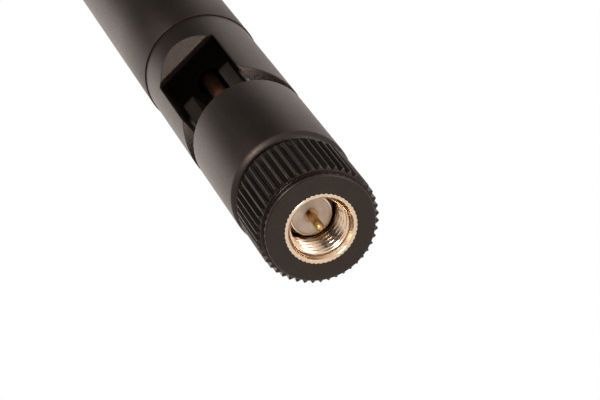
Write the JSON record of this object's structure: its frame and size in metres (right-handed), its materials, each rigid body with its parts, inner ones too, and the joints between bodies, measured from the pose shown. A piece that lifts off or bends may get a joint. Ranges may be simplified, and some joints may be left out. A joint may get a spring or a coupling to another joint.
{
  "type": "hinged rod antenna",
  "caption": "Black rod antenna with a ribbed screw-on coupling nut, a swivelling barrel and a tilting whip on a forked knuckle hinge with the cable showing in its slot.",
  "frame": {"origin": "centre of the coupling nut's flat mating face, on the antenna's long axis", "axes": "+Z along the antenna from the mating face to the tip; the tilt hinge lies along X; the hinge slot opens towards -Y, the side to which the whip tilts"},
  "size_m": [0.0136, 0.0136, 0.196],
  "materials": {
    "black_plastic": "matte, fine spark-eroded grain",
    "gold_brass": "pale gold plating, bright",
    "spring_bronze": "satin",
    "contact_gold": "gold plating, satin",
    "white_insulator": "waxy matte",
    "gasket_rubber": "matte",
    "washer_nylon": "matte",
    "nickel_ferrule": "satin nickel",
    "shrink_tube": "matte",
    "cable_jacket": "semi-gloss brown",
    "board_laminate": "semi-gloss laminate",
    "copper": "satin copper",
    "solder": "bright",
    "foam": "open foam"
  },
  "bodies": {
    "coupling_nut": {"nut_grip": "black_plastic", "nut_insert": "gold_brass"},
    "base": {"connector_body": "gold_brass", "retaining_ring": "spring_bronze", "insulator": "white_insulator", "centre_contact": "contact_gold", "face_gasket": "gasket_rubber", "crimp_ferrule": "nickel_ferrule", "heat_shrink": "shrink_tube", "barrel": "black_plastic", "hinge_washers": "washer_nylon", "coax_cable": "cable_jacket"},
    "whip": {"hinge_fork": "black_plastic", "radome": "black_plastic", "board": "board_laminate", "lower_radiator": "copper", "upper_radiator": "copper", "braid_solder": "solder", "core_solder": "solder", "foam_pads": "foam"}
  },
  "joints": [
    {"name": "swivel", "type": "hinge", "parent": "coupling_nut", "child": "base", "pos_m": [0, 0, 0.00715], "axis": [0, 0, 1], "continuous": true},
    {"name": "tilt", "type": "hinge", "parent": "base", "child": "whip", "pos_m": [0, 0, 0.0327], "axis": [1, 0, 0], "range_deg": [0, 90], "deforming": ["coax_cable"]}
  ]
}
